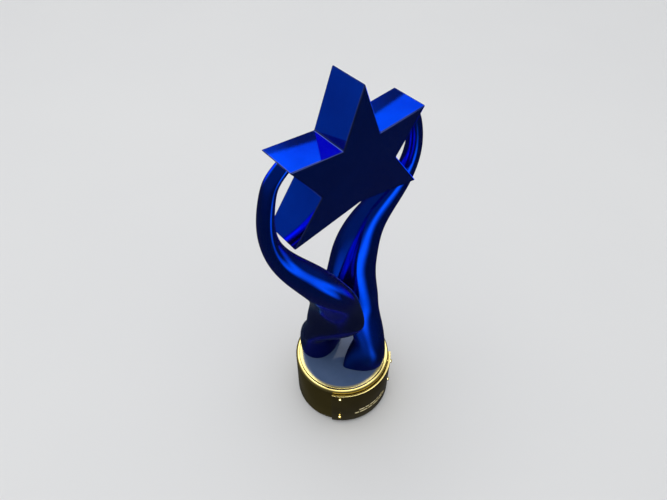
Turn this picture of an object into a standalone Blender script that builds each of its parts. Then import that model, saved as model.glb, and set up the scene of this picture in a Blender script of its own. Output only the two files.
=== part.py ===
"""Star trophy: a blue star carried by two swirling arms on a weighted round base.

The axis of the base is the Z axis, the table is z = 0, and the front is towards -Y.
Lengths are metres unless a name ends in _MM.
"""
import math

import bmesh
import bpy
import numpy as np
from mathutils import Matrix, Vector

COLLECTION_NAME = "star_trophy"
CUTTER_COLLECTION_NAME = "star_trophy_cutters"

# ---------------------------------------------------------------- driving dimensions
GAP = 0.0003                      # left between faces that touch on the real object
FULL_TURN = 2.0 * math.pi
HALF_TURN = math.pi

BASE_RADIUS = 0.0385
BASE_TOP = 0.0500                 # top of the bright rim
FELT_THICKNESS = 0.0015
FELT_RADIUS = 0.0365
SHELL_BOTTOM = FELT_THICKNESS + GAP
SHELL_WALL = 0.0049
DECK_THICKNESS = 0.0033
DISC_TOP = BASE_TOP - 0.0002
DISC_THICKNESS = 0.0052
DISC_RADIUS = 0.0353
RIM_HEIGHT = 0.0031
RIM_OUTER_ROUND = 0.0012
RIM_INNER_ROUND = 0.0006
EDGE_BREAK = 0.0004               # small chamfer on turned edges

DECK_TOP = DISC_TOP - DISC_THICKNESS - GAP
DECK_BOTTOM = DECK_TOP - DECK_THICKNESS
RIM_BOTTOM = BASE_TOP - RIM_HEIGHT
RIM_INNER_RADIUS = DISC_RADIUS + GAP
SHELL_INNER_RADIUS = BASE_RADIUS - SHELL_WALL

PLATE_THICKNESS = 0.0030          # base plate
PLATE_RADIUS = 0.0352
PLATE_LEDGE = SHELL_BOTTOM + PLATE_THICKNESS + GAP
BALLAST_RADIUS = SHELL_INNER_RADIUS - 0.0006
BALLAST_TOP = DECK_BOTTOM - GAP
BALLAST_BOTTOM = 0.0160

BOLT_RADIUS = 0.0030
BOLT_CLEARANCE = 0.0004
BOLT_HEAD_RADIUS = 0.0050
BOLT_HEAD_HEIGHT = 0.0055
BOLT_GRIP_IN_ARM = 0.0115
WASHER_THICKNESS = 0.0015
WASHER_RADIUS = 0.0065
HEX_KEY_RADIUS = 0.0029
HEX_KEY_DEPTH = 0.0026

BASE_SCREW_COUNT = 3
BASE_SCREW_CIRCLE = 0.0260
BASE_SCREW_FIRST_ANGLE = math.radians(30.0)
BASE_SCREW_RADIUS = 0.0020
BASE_SCREW_HEAD_RADIUS = 0.0040
BASE_SCREW_HEAD_HEIGHT = 0.0020
BASE_SCREW_LENGTH = 0.0220
BASE_SCREW_KEY_RADIUS = 0.0014
BASE_SCREW_KEY_DEPTH = 0.0012

NAMEPLATE_ARC = math.radians(104.0)
NAMEPLATE_BOTTOM = 0.0035
NAMEPLATE_TOP = 0.0460
NAMEPLATE_THICKNESS = 0.0020
NAMEPLATE_INNER_RADIUS = BASE_RADIUS + GAP
NAMEPLATE_OUTER_RADIUS = NAMEPLATE_INNER_RADIUS + NAMEPLATE_THICKNESS
NAMEPLATE_SCREW_ANGLE = math.radians(42.5)
NAMEPLATE_SCREW_HEIGHTS = (0.0110, 0.0415)
NAMEPLATE_SCREW_RADIUS = 0.0009
NAMEPLATE_SCREW_HEAD_RADIUS = 0.0017
NAMEPLATE_SCREW_HEAD_HEIGHT = 0.0012
NAMEPLATE_SCREW_LENGTH = 0.0060
ENGRAVING_DEPTH = 0.0004
ENGRAVING_BAR_HEIGHT = 0.0017
ENGRAVING_GAP = math.radians(1.3)
# Two rows of plain engraved bars: height of the row and the bars' arcs in degrees.
ENGRAVING_ROWS = ((0.0185, (7, 5, 9, 4, 8)), (0.0145, (5, 10, 6, 8, 7, 6)))

STAR_HALF_THICKNESS = 0.0124
STAR_EDGE_BREAK = 0.0008
STAR_TOP = (0.0, 0.3000)
STAR_UPPER_NOTCH = (0.0128, 0.2671)
STAR_SIDE_TIP = (0.0462, 0.2702)
STAR_SIDE_NOTCH = (0.0269, 0.2445)
STAR_LEG_TIP = (0.0470, 0.2167)
STAR_BOTTOM_NOTCH = (0.0, 0.2250)

PIN_RADIUS = 0.0015
PIN_CLEARANCE = 0.0003
PIN_HALF_LENGTH = 0.0050
PIN_TIP_DISTANCE = 0.0068         # from the star's side tip down its lower edge

# Stations of the right arm, from the foot on the disc to the end under the star's tip:
# height, x and y of the middle, half length, half width, direction of the long axis in
# degrees, and how far the section narrows to a tail at that end.
ARM_STATIONS_MM = (
    (50.1, 8.2, -16.6, 17.8, 15.4, 167, 0.60),
    (61.6, 11.0, -17.3, 15.2, 14.8, 150, 0.35),
    (73.2, 13.8, -16.4, 12.4, 13.7, 140, 0.20),
    (84.7, 14.4, -9.2, 14.6, 12.4, 131, 0.25),
    (100.1, 12.6, 2.2, 20.0, 11.6, 128, 0.20),
    (115.5, 12.3, 6.2, 21.0, 11.6, 130, 0.10),
    (134.8, 15.0, 8.6, 18.0, 11.8, 130, 0.0),
    (154.0, 21.6, 11.6, 16.0, 11.4, 124, 0.0),
    (177.1, 34.0, 11.0, 11.8, 10.8, 112, 0.0),
    (202.1, 50.2, 4.9, 7.4, 8.3, 130, 0.0),
    (227.2, 57.0, 1.8, 5.3, 6.4, 162, 0.0),
    (248.0, 53.8, 0.2, 4.3, 5.2, 180, 0.0),
    (258.6, 49.2, 0.0, 4.0, 4.8, 180, 0.0),
)
ARM_END_HALF_LENGTH_MM = 3.9
ARM_END_HALF_WIDTH_MM = 4.5
ARM_RING_COUNT = 50
ARM_RING_POINTS = 28
ARM_LEVEL_STATIONS = 4.0          # sections stay level up to this station
ARM_SQUARE_STATIONS = 8.0         # and are square to the arm from this one on

SEGMENTS_LARGE = 72
SEGMENTS_BALLAST = 36
SEGMENTS_NAMEPLATE = 32
SEGMENTS_SMALL = 16
SEGMENTS_PIN = 12
ENGRAVING_STEP = math.radians(3.5)


# ---------------------------------------------------------------- scene and materials
def clear_scene():
    for obj in list(bpy.data.objects):
        bpy.data.objects.remove(obj, do_unlink=True)


def new_collection(name):
    collection = bpy.data.collections.new(name)
    bpy.context.scene.collection.children.link(collection)
    return collection


def make_material(name, colour, metallic, roughness):
    material = bpy.data.materials.new(name)
    material.use_nodes = True
    shader = material.node_tree.nodes["Principled BSDF"]
    shader.inputs["Base Color"].default_value = (*colour, 1.0)
    shader.inputs["Metallic"].default_value = metallic
    shader.inputs["Roughness"].default_value = roughness
    material.diffuse_color = (*colour, 1.0)
    return material


def make_object(name, mesh, material):
    obj = bpy.data.objects.new(name, mesh)
    PARTS.objects.link(obj)
    mesh.materials.append(material)
    return obj


def make_cutter(name, mesh):
    cutter = bpy.data.objects.new(name, mesh)
    CUTTERS.objects.link(cutter)
    cutter.hide_render = True
    cutter.display_type = "WIRE"
    return cutter


def cut(obj, cutter):
    boolean = obj.modifiers.new(cutter.name, "BOOLEAN")
    boolean.operation = "DIFFERENCE"
    boolean.solver = "EXACT"
    boolean.object = cutter


# ---------------------------------------------------------------- shape helpers
def turned_mesh(name, profile, closed):
    """Edges of a turned profile of (radius, height) points, running down the outer side."""
    mesh = bpy.data.meshes.new(name)
    points = [(radius, 0.0, height) for radius, height in profile]
    edges = [(i, i + 1) for i in range(len(points) - 1)]
    if closed:
        edges.append((len(points) - 1, 0))
    mesh.from_pydata(points, edges, [])
    return mesh


def add_screw(obj, steps, angle=FULL_TURN):
    screw = obj.modifiers.new("turn", "SCREW")
    screw.axis = "Z"
    screw.angle = angle
    screw.steps = steps
    screw.render_steps = steps
    screw.use_merge_vertices = True
    screw.merge_threshold = 0.00001
    screw.use_smooth_shade = True


def turned(name, profile, material, closed=False, steps=SEGMENTS_LARGE):
    obj = make_object(name, turned_mesh(name, profile, closed), material)
    add_screw(obj, steps)
    return obj


def arc(centre, radius, start_degrees, end_degrees, count):
    """Points of an arc in the (radius, height) plane, both ends included."""
    angles = np.radians(np.linspace(start_degrees, end_degrees, count))
    return [(centre[0] + radius * math.cos(a), centre[1] + radius * math.sin(a)) for a in angles]


def cylinder_mesh(name, radius, length, segments):
    """Capped cylinder about Z, centred on the origin."""
    bm = bmesh.new()
    bmesh.ops.create_cone(
        bm, cap_ends=True, segments=segments, depth=length, radius1=radius, radius2=radius)
    mesh = bpy.data.meshes.new(name)
    bm.to_mesh(mesh)
    bm.free()
    return mesh


def cylinder_cutter(name, radius, length, place, segments=SEGMENTS_SMALL):
    cutter = make_cutter(name, cylinder_mesh(name, radius, length, segments))
    cutter.matrix_world = place
    return cutter


def along(direction, centre):
    """Placement that turns +Z to a direction and moves the origin to a centre."""
    turn = Vector(direction).to_track_quat("Z", "Y").to_matrix().to_4x4()
    return Matrix.Translation(centre) @ turn


def shade_smooth(mesh, angle_degrees=35.0):
    mesh.shade_smooth()
    mesh.set_sharp_from_angle(angle=math.radians(angle_degrees))


# ---------------------------------------------------------------- base
def make_felt_pad(material):
    profile = [
        (0.0, FELT_THICKNESS),
        (FELT_RADIUS - EDGE_BREAK, FELT_THICKNESS),
        (FELT_RADIUS, FELT_THICKNESS - EDGE_BREAK),
        (FELT_RADIUS, 0.0),
        (0.0, 0.0),
    ]
    turned("felt_pad", profile, material)


def make_base_shell(material):
    recess_radius = PLATE_RADIUS + GAP
    seat_radius = DISC_RADIUS + GAP
    wall_top = RIM_BOTTOM - GAP
    profile = [
        (0.0, DECK_TOP),
        (seat_radius, DECK_TOP),
        (seat_radius, wall_top),
        (BASE_RADIUS, wall_top),
        (BASE_RADIUS, SHELL_BOTTOM + EDGE_BREAK),
        (BASE_RADIUS - EDGE_BREAK, SHELL_BOTTOM),
        (recess_radius, SHELL_BOTTOM),
        (recess_radius, PLATE_LEDGE),
        (SHELL_INNER_RADIUS, PLATE_LEDGE),
        (SHELL_INNER_RADIUS, DECK_BOTTOM),
        (0.0, DECK_BOTTOM),
    ]
    shell = turned("base_shell", profile, material)
    for name, foot in arm_feet():
        place = Matrix.Translation((foot.x, foot.y, DECK_BOTTOM))
        cut(shell, cylinder_cutter(
            f"deck_hole_{name}", BOLT_RADIUS + BOLT_CLEARANCE, 4.0 * DECK_THICKNESS, place))
    for index, place in enumerate(nameplate_screw_places(BASE_RADIUS)):
        cut(shell, cylinder_cutter(
            f"shell_screw_hole_{index}", NAMEPLATE_SCREW_RADIUS + GAP, 4.0 * SHELL_WALL, place))


def make_rim_ring(material):
    outer = arc((BASE_RADIUS - RIM_OUTER_ROUND, BASE_TOP - RIM_OUTER_ROUND),
                RIM_OUTER_ROUND, 90.0, 0.0, 6)
    inner = arc((RIM_INNER_RADIUS + RIM_INNER_ROUND, BASE_TOP - RIM_INNER_ROUND),
                RIM_INNER_ROUND, 180.0, 90.0, 4)
    bottom = [(BASE_RADIUS, RIM_BOTTOM), (RIM_INNER_RADIUS, RIM_BOTTOM)]
    turned("rim_ring", inner + outer + bottom, material, closed=True)


def make_top_disc(material):
    profile = [
        (0.0, DISC_TOP),
        (DISC_RADIUS - EDGE_BREAK, DISC_TOP),
        (DISC_RADIUS, DISC_TOP - EDGE_BREAK),
        (DISC_RADIUS, DISC_TOP - DISC_THICKNESS),
        (0.0, DISC_TOP - DISC_THICKNESS),
    ]
    disc = turned("top_disc", profile, material)
    for name, foot in arm_feet():
        place = Matrix.Translation((foot.x, foot.y, DISC_TOP))
        cut(disc, cylinder_cutter(
            f"disc_hole_{name}", BOLT_RADIUS + BOLT_CLEARANCE, 4.0 * DISC_THICKNESS, place))


def make_ballast(material):
    profile = [
        (0.0, BALLAST_TOP),
        (BALLAST_RADIUS - EDGE_BREAK, BALLAST_TOP),
        (BALLAST_RADIUS, BALLAST_TOP - EDGE_BREAK),
        (BALLAST_RADIUS, BALLAST_BOTTOM + EDGE_BREAK),
        (BALLAST_RADIUS - EDGE_BREAK, BALLAST_BOTTOM),
        (0.0, BALLAST_BOTTOM),
    ]
    ballast = turned("ballast_weight", profile, material, steps=SEGMENTS_BALLAST)
    height = BALLAST_TOP - BALLAST_BOTTOM
    for name, foot in arm_feet():
        place = Matrix.Translation((foot.x, foot.y, BALLAST_BOTTOM))
        cut(ballast, cylinder_cutter(
            f"ballast_hole_{name}", BOLT_RADIUS + BOLT_CLEARANCE, 4.0 * height, place))
    tapped_depth = SHELL_BOTTOM + BASE_SCREW_LENGTH - BALLAST_BOTTOM + BOLT_CLEARANCE
    for index, centre in enumerate(base_screw_centres()):
        place = Matrix.Translation((centre.x, centre.y, BALLAST_BOTTOM))
        cut(ballast, cylinder_cutter(
            f"tapped_hole_{index}", BASE_SCREW_RADIUS + GAP, 2.0 * tapped_depth, place))


def base_screw_centres():
    for index in range(BASE_SCREW_COUNT):
        angle = BASE_SCREW_FIRST_ANGLE + index * FULL_TURN / BASE_SCREW_COUNT
        yield Vector((BASE_SCREW_CIRCLE * math.cos(angle), BASE_SCREW_CIRCLE * math.sin(angle), 0.0))


def make_base_plate(material):
    top = SHELL_BOTTOM + PLATE_THICKNESS
    profile = [
        (0.0, top),
        (PLATE_RADIUS, top),
        (PLATE_RADIUS, SHELL_BOTTOM + EDGE_BREAK),
        (PLATE_RADIUS - EDGE_BREAK, SHELL_BOTTOM),
        (0.0, SHELL_BOTTOM),
    ]
    plate = turned("base_plate", profile, material)
    hole_radius = BASE_SCREW_RADIUS + GAP
    sink_radius = BASE_SCREW_HEAD_RADIUS
    sink = [
        (0.0, top + PLATE_THICKNESS),
        (hole_radius, top + PLATE_THICKNESS),
        (hole_radius, SHELL_BOTTOM + BASE_SCREW_HEAD_HEIGHT + GAP),
        (sink_radius, SHELL_BOTTOM + 2.0 * GAP),
        (sink_radius, SHELL_BOTTOM - PLATE_THICKNESS),
        (0.0, SHELL_BOTTOM - PLATE_THICKNESS),
    ]
    for index, centre in enumerate(base_screw_centres()):
        cutter = make_cutter(f"countersunk_hole_{index}", turned_mesh("countersunk_hole", sink, False))
        add_screw(cutter, SEGMENTS_SMALL)
        cutter.location = centre
        cut(plate, cutter)


def make_base_screws(material):
    shank_end = SHELL_BOTTOM + BASE_SCREW_LENGTH
    head_top = SHELL_BOTTOM + BASE_SCREW_HEAD_HEIGHT
    profile = [
        (0.0, shank_end),
        (BASE_SCREW_RADIUS - EDGE_BREAK, shank_end),
        (BASE_SCREW_RADIUS, shank_end - EDGE_BREAK),
        (BASE_SCREW_RADIUS, head_top),
        (BASE_SCREW_HEAD_RADIUS - GAP, SHELL_BOTTOM + 2.0 * GAP),
        (BASE_SCREW_HEAD_RADIUS - GAP, SHELL_BOTTOM + GAP),
        (0.0, SHELL_BOTTOM + GAP),
    ]
    for index, centre in enumerate(base_screw_centres()):
        screw = turned(f"base_screw_{index + 1}", profile, material, steps=SEGMENTS_SMALL)
        screw.location = centre
        place = Matrix.Translation((centre.x, centre.y, SHELL_BOTTOM + GAP))
        cut(screw, cylinder_cutter(
            f"base_screw_key_{index}", BASE_SCREW_KEY_RADIUS, 2.0 * BASE_SCREW_KEY_DEPTH, place,
            segments=6))


# ---------------------------------------------------------------- nameplate
def nameplate_screw_places(radius):
    """Placements at the plate's four corners, with +Z pointing out of the base."""
    for height in NAMEPLATE_SCREW_HEIGHTS:
        for side in (-1.0, 1.0):
            angle = side * NAMEPLATE_SCREW_ANGLE
            outward = Vector((math.sin(angle), -math.cos(angle), 0.0))
            yield along(outward, outward * radius + Vector((0.0, 0.0, height)))


def arc_block_mesh(name, inner_radius, outer_radius, low, high, start, end, step):
    """Solid block bent round the Z axis; angles are measured from the front (-Y)."""
    count = max(1, round((end - start) / step))
    bm = bmesh.new()
    rings = []
    for angle in np.linspace(start, end, count + 1):
        corners = ((inner_radius, low), (outer_radius, low), (outer_radius, high), (inner_radius, high))
        rings.append([
            bm.verts.new((r * math.sin(angle), -r * math.cos(angle), z)) for r, z in corners])
    for near, far in zip(rings, rings[1:]):
        for i in range(4):
            j = (i + 1) % 4
            bm.faces.new((near[i], far[i], far[j], near[j]))
    bm.faces.new(rings[0])
    bm.faces.new(rings[-1][::-1])
    bmesh.ops.recalc_face_normals(bm, faces=bm.faces)
    mesh = bpy.data.meshes.new(name)
    bm.to_mesh(mesh)
    bm.free()
    return mesh


def make_nameplate(material):
    sheet = turned_mesh("nameplate", [(NAMEPLATE_INNER_RADIUS, NAMEPLATE_TOP),
                                      (NAMEPLATE_INNER_RADIUS, NAMEPLATE_BOTTOM)], False)
    sheet.transform(Matrix.Rotation(-0.5 * HALF_TURN - 0.5 * NAMEPLATE_ARC, 4, "Z"))
    plate = make_object("nameplate", sheet, material)
    add_screw(plate, SEGMENTS_NAMEPLATE, NAMEPLATE_ARC)
    thickness = plate.modifiers.new("thickness", "SOLIDIFY")
    thickness.thickness = NAMEPLATE_THICKNESS
    thickness.offset = 1.0
    bevel = plate.modifiers.new("edge_break", "BEVEL")
    bevel.width = EDGE_BREAK
    bevel.segments = 1
    bevel.limit_method = "ANGLE"
    bevel.angle_limit = math.radians(40.0)
    for index, place in enumerate(nameplate_screw_places(NAMEPLATE_OUTER_RADIUS)):
        cut(plate, cylinder_cutter(
            f"nameplate_hole_{index}", NAMEPLATE_SCREW_RADIUS + GAP, 4.0 * NAMEPLATE_THICKNESS, place))
    for row, (height, bars) in enumerate(ENGRAVING_ROWS):
        arcs = [math.radians(bar) for bar in bars]
        angle = -0.5 * (sum(arcs) + ENGRAVING_GAP * (len(arcs) - 1))
        for index, bar in enumerate(arcs):
            cut(plate, make_cutter(f"engraving_{row}_{index}", arc_block_mesh(
                f"engraving_{row}_{index}",
                NAMEPLATE_OUTER_RADIUS - ENGRAVING_DEPTH, NAMEPLATE_OUTER_RADIUS + ENGRAVING_DEPTH,
                height - 0.5 * ENGRAVING_BAR_HEIGHT, height + 0.5 * ENGRAVING_BAR_HEIGHT,
                angle, angle + bar, ENGRAVING_STEP)))
            angle += bar + ENGRAVING_GAP


def make_nameplate_screws(material):
    dome = [(NAMEPLATE_SCREW_HEAD_RADIUS * math.sin(a), NAMEPLATE_SCREW_HEAD_HEIGHT * math.cos(a))
            for a in np.linspace(0.0, 0.5 * HALF_TURN, 6)]
    shank = [
        (NAMEPLATE_SCREW_RADIUS, 0.0),
        (NAMEPLATE_SCREW_RADIUS, -NAMEPLATE_SCREW_LENGTH),
        (0.0, -NAMEPLATE_SCREW_LENGTH),
    ]
    for index, place in enumerate(nameplate_screw_places(NAMEPLATE_OUTER_RADIUS + GAP)):
        screw = turned(f"nameplate_screw_{index + 1}", dome + shank, material, steps=SEGMENTS_SMALL)
        screw.matrix_world = place


# ---------------------------------------------------------------- arms
def star_face_frame():
    """Middle of the arm's end on the star's lower right edge, and the way into the star."""
    tip = Vector((STAR_SIDE_TIP[0], 0.0, STAR_SIDE_TIP[1]))
    notch = Vector((STAR_SIDE_NOTCH[0], 0.0, STAR_SIDE_NOTCH[1]))
    edge = (notch - tip).normalized()
    inward = Vector((edge.z, 0.0, -edge.x))
    return tip + edge * PIN_TIP_DISTANCE, inward


def arm_feet():
    """Name and bolt position of each arm; the left arm is the right one turned half a turn."""
    x, y = (value * 0.001 for value in ARM_STATIONS_MM[0][1:3])
    yield "right", Vector((x, y, 0.0))
    yield "left", Vector((-x, -y, 0.0))


def natural_spline(values, positions):
    """Natural cubic spline through values at 0, 1, 2 ...; returns the curve and its slope."""
    values = np.asarray(values, dtype=float)
    count = len(values)
    system = np.eye(count)
    right_side = np.zeros_like(values)
    for i in range(1, count - 1):
        system[i, i - 1:i + 2] = (1.0, 4.0, 1.0)
        right_side[i] = 6.0 * (values[i - 1] - 2.0 * values[i] + values[i + 1])
    bend = np.linalg.solve(system, right_side)
    low = np.minimum(positions.astype(int), count - 2)
    t = (positions - low)[:, None]
    s = 1.0 - t
    v0, v1, m0, m1 = values[low], values[low + 1], bend[low], bend[low + 1]
    curve = s * v0 + t * v1 + ((s ** 3 - s) * m0 + (t ** 3 - t) * m1) / 6.0
    slope = v1 - v0 + ((1.0 - 3.0 * s ** 2) * m0 + (3.0 * t ** 2 - 1.0) * m1) / 6.0
    return curve, slope


def smooth_step(values, low, high):
    t = np.clip((values - low) / (high - low), 0.0, 1.0)
    return t * t * (3.0 - 2.0 * t)


def unit(vectors):
    return vectors / np.linalg.norm(vectors, axis=1)[:, None]


def arm_sections():
    """Rings of points of the right arm, from the foot up to its end under the star."""
    face, inward = star_face_frame()
    end = (face - inward * GAP) * 1000.0
    last = (end.z, end.x, end.y, ARM_END_HALF_LENGTH_MM, ARM_END_HALF_WIDTH_MM, 180.0, 0.0)
    stations = np.array(ARM_STATIONS_MM + (last,))
    final = len(stations) - 1
    positions = np.linspace(0.0, final, ARM_RING_COUNT)
    curve, slope = natural_spline(stations, positions)
    middle = curve[:, [1, 2, 0]]
    heading = unit(slope[:, [1, 2, 0]])
    square = smooth_step(positions, ARM_LEVEL_STATIONS, ARM_SQUARE_STATIONS)[:, None]
    heading = unit(heading * square + np.array((0.0, 0.0, 1.0)) * (1.0 - square))
    seat = smooth_step(positions, final - 1.5, final)[:, None]
    heading = unit(heading * (1.0 - seat) + np.array(inward) * seat)
    turn = np.radians(curve[:, 5])
    long_axis = np.stack((np.cos(turn), np.sin(turn), np.zeros_like(turn)), axis=1)
    long_axis = unit(long_axis - heading * np.sum(long_axis * heading, axis=1)[:, None])
    short_axis = np.cross(heading, long_axis)
    angles = np.linspace(0.0, FULL_TURN, ARM_RING_POINTS, endpoint=False)
    tail = np.clip(curve[:, 6], 0.0, 1.0)[:, None] * ((1.0 + np.cos(angles)) / 2.0) ** 2
    lengthwise = curve[:, 3:4] * np.cos(angles)
    crosswise = curve[:, 4:5] * np.sin(angles) * (1.0 - tail)
    rings = (middle[:, None, :] + lengthwise[:, :, None] * long_axis[:, None, :]
             + crosswise[:, :, None] * short_axis[:, None, :])
    return rings * 0.001


def arm_mesh(name):
    bm = bmesh.new()
    rings = [[bm.verts.new(point) for point in ring] for ring in arm_sections()]
    for lower, upper in zip(rings, rings[1:]):
        for i in range(ARM_RING_POINTS):
            j = (i + 1) % ARM_RING_POINTS
            bm.faces.new((lower[i], lower[j], upper[j], upper[i]))
    bm.faces.new(rings[0][::-1])
    bm.faces.new(rings[-1])
    mesh = bpy.data.meshes.new(name)
    bm.to_mesh(mesh)
    bm.free()
    shade_smooth(mesh)
    return mesh


def make_arms(material):
    foot_height = ARM_STATIONS_MM[0][0] * 0.001
    face, inward = star_face_frame()
    for name, foot in arm_feet():
        turn = Matrix.Rotation(0.0 if name == "right" else HALF_TURN, 4, "Z")
        arm = make_object(f"{name}_arm", arm_mesh(f"{name}_arm"), material)
        arm.matrix_world = turn
        bolt_place = Matrix.Translation((foot.x, foot.y, foot_height))
        bolt_hole_depth = BOLT_GRIP_IN_ARM + BOLT_CLEARANCE
        cut(arm, cylinder_cutter(
            f"foot_hole_{name}", BOLT_RADIUS + BOLT_CLEARANCE, 2.0 * bolt_hole_depth, bolt_place))
        cut(arm, cylinder_cutter(
            f"end_hole_{name}", PIN_RADIUS + PIN_CLEARANCE,
            2.0 * (PIN_HALF_LENGTH + PIN_CLEARANCE), turn @ along(inward, face), segments=SEGMENTS_PIN))


def make_arm_bolts(bolt_material, washer_material):
    washer_top = BALLAST_BOTTOM - GAP
    washer_bottom = washer_top - WASHER_THICKNESS
    head_top = washer_bottom - GAP
    head_bottom = head_top - BOLT_HEAD_HEIGHT
    bolt_end = ARM_STATIONS_MM[0][0] * 0.001 + BOLT_GRIP_IN_ARM
    bolt_profile = [
        (0.0, bolt_end),
        (BOLT_RADIUS - EDGE_BREAK, bolt_end),
        (BOLT_RADIUS, bolt_end - EDGE_BREAK),
        (BOLT_RADIUS, head_top),
        (BOLT_HEAD_RADIUS, head_top),
        (BOLT_HEAD_RADIUS, head_bottom + EDGE_BREAK),
        (BOLT_HEAD_RADIUS - EDGE_BREAK, head_bottom),
        (0.0, head_bottom),
    ]
    washer_profile = [
        (BOLT_RADIUS + GAP, washer_top),
        (WASHER_RADIUS, washer_top),
        (WASHER_RADIUS, washer_bottom),
        (BOLT_RADIUS + GAP, washer_bottom),
    ]
    for name, foot in arm_feet():
        bolt = turned(f"arm_bolt_{name}", bolt_profile, bolt_material, steps=SEGMENTS_SMALL)
        bolt.location = foot
        key_place = Matrix.Translation((foot.x, foot.y, head_bottom))
        cut(bolt, cylinder_cutter(
            f"bolt_key_{name}", HEX_KEY_RADIUS, 2.0 * HEX_KEY_DEPTH, key_place, segments=6))
        washer = turned(f"arm_washer_{name}", washer_profile, washer_material,
                        closed=True, steps=SEGMENTS_SMALL)
        washer.location = foot


# ---------------------------------------------------------------- star
def star_outline():
    right = [STAR_TOP, STAR_UPPER_NOTCH, STAR_SIDE_TIP, STAR_SIDE_NOTCH, STAR_LEG_TIP,
             STAR_BOTTOM_NOTCH]
    left = [(-x, z) for x, z in reversed(right[1:-1])]
    return right + left


def flat_outline_mesh(name, points, half_thickness):
    """Flat outline in the XZ plane, filled and given its thickness along Y."""
    curve = bpy.data.curves.new(name, "CURVE")
    curve.dimensions = "2D"
    curve.fill_mode = "BOTH"
    curve.extrude = half_thickness
    spline = curve.splines.new("POLY")
    spline.points.add(len(points) - 1)
    for point, (x, z) in zip(spline.points, points):
        point.co = (x, z, 0.0, 1.0)
    spline.use_cyclic_u = True
    guide = bpy.data.objects.new(name, curve)
    CUTTERS.objects.link(guide)
    evaluated = guide.evaluated_get(bpy.context.evaluated_depsgraph_get())
    mesh = bpy.data.meshes.new_from_object(evaluated)
    bpy.data.objects.remove(guide)
    bpy.data.curves.remove(curve)
    bm = bmesh.new()
    bm.from_mesh(mesh)
    bmesh.ops.remove_doubles(bm, verts=bm.verts, dist=0.00001)
    bmesh.ops.dissolve_limit(bm, angle_limit=math.radians(1.0), verts=bm.verts, edges=bm.edges)
    bmesh.ops.recalc_face_normals(bm, faces=bm.faces)
    bm.to_mesh(mesh)
    bm.free()
    mesh.transform(Matrix.Rotation(0.5 * HALF_TURN, 4, "X"))
    return mesh


def make_star(material):
    mesh = flat_outline_mesh("star", star_outline(), STAR_HALF_THICKNESS)
    star = make_object("star", mesh, material)
    bevel = star.modifiers.new("edge_break", "BEVEL")
    bevel.width = STAR_EDGE_BREAK
    bevel.segments = 2
    bevel.limit_method = "ANGLE"
    bevel.angle_limit = math.radians(30.0)
    face, inward = star_face_frame()
    for name, _ in arm_feet():
        turn = Matrix.Rotation(0.0 if name == "right" else HALF_TURN, 4, "Z")
        cut(star, cylinder_cutter(
            f"star_hole_{name}", PIN_RADIUS + PIN_CLEARANCE,
            2.0 * (PIN_HALF_LENGTH + PIN_CLEARANCE), turn @ along(inward, face), segments=SEGMENTS_PIN))


def make_star_pins(material):
    face, inward = star_face_frame()
    half = PIN_HALF_LENGTH
    profile = [
        (0.0, half),
        (PIN_RADIUS - EDGE_BREAK, half),
        (PIN_RADIUS, half - EDGE_BREAK),
        (PIN_RADIUS, EDGE_BREAK - half),
        (PIN_RADIUS - EDGE_BREAK, -half),
        (0.0, -half),
    ]
    for name, _ in arm_feet():
        turn = Matrix.Rotation(0.0 if name == "right" else HALF_TURN, 4, "Z")
        pin = turned(f"star_pin_{name}", profile, material, steps=SEGMENTS_PIN)
        pin.matrix_world = turn @ along(inward, face)


# ---------------------------------------------------------------- assembly
def build():
    blue_mirror = make_material("blue_mirror", (0.010, 0.060, 0.620), 1.0, 0.14)
    dark_gold = make_material("dark_gold", (0.360, 0.270, 0.090), 1.0, 0.28)
    bright_gold = make_material("bright_gold", (0.900, 0.760, 0.360), 1.0, 0.12)
    slate_lacquer = make_material("slate_lacquer", (0.044, 0.083, 0.205), 0.0, 0.10)
    cast_iron = make_material("cast_iron", (0.110, 0.110, 0.115), 0.7, 0.62)
    zinc_steel = make_material("zinc_steel", (0.520, 0.520, 0.530), 1.0, 0.34)
    black_plate = make_material("black_plate", (0.030, 0.030, 0.032), 0.4, 0.50)
    felt = make_material("green_felt", (0.020, 0.045, 0.032), 0.0, 0.95)

    make_felt_pad(felt)
    make_base_plate(black_plate)
    make_base_screws(zinc_steel)
    make_ballast(cast_iron)
    make_base_shell(dark_gold)
    make_rim_ring(bright_gold)
    make_top_disc(slate_lacquer)
    make_nameplate(dark_gold)
    make_nameplate_screws(bright_gold)
    make_arm_bolts(zinc_steel, zinc_steel)
    make_arms(blue_mirror)
    make_star(blue_mirror)
    make_star_pins(zinc_steel)


clear_scene()
PARTS = new_collection(COLLECTION_NAME)
CUTTERS = new_collection(CUTTER_COLLECTION_NAME)
build()
bpy.context.view_layer.update()
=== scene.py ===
"""Looks of the star trophy: fine meshes, materials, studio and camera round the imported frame.

The axis of the base is the Z axis, the table is z = 0, and the front is towards -Y.
Lengths are metres unless a name ends in _MM.
"""
import math
from typing import NamedTuple

import bmesh
import bpy
import numpy as np
from mathutils import Matrix, Vector


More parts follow.
